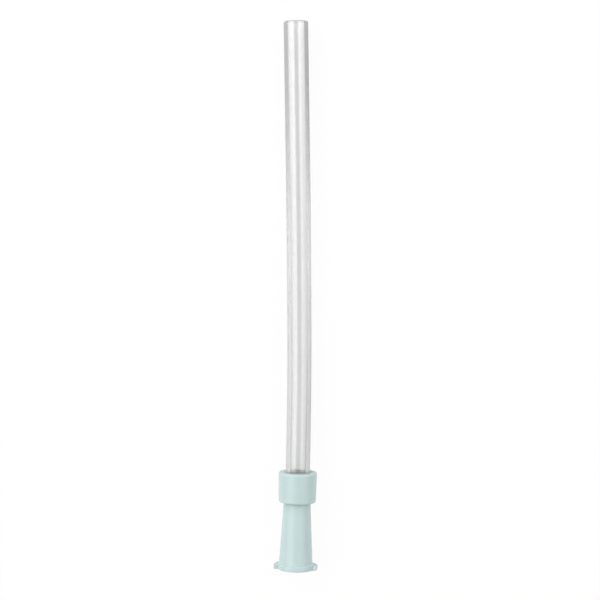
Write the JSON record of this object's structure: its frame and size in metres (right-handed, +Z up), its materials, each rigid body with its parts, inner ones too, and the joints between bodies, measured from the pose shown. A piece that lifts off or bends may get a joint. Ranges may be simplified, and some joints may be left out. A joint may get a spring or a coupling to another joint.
{
  "type": "suction catheter",
  "caption": "Short clear suction catheter: flexible open-ended tube cemented into a pale mint tapered connector with a rim and lugs.",
  "frame": {"origin": "under the middle of the part's box, on the surface that it lies on", "axes": "+Y along the length from the connector's mouth to the tube's open tip, +Z up from the surface, +X to the right when looking down with +Y away"},
  "size_m": [0.0078, 0.0966, 0.0073],
  "materials": {
    "clear_pvc": "gloss",
    "mint_plastic": "satin"
  },
  "bodies": {
    "root": {"catheter_tube": "clear_pvc", "connector_hub": "mint_plastic"}
  },
  "joints": []
}
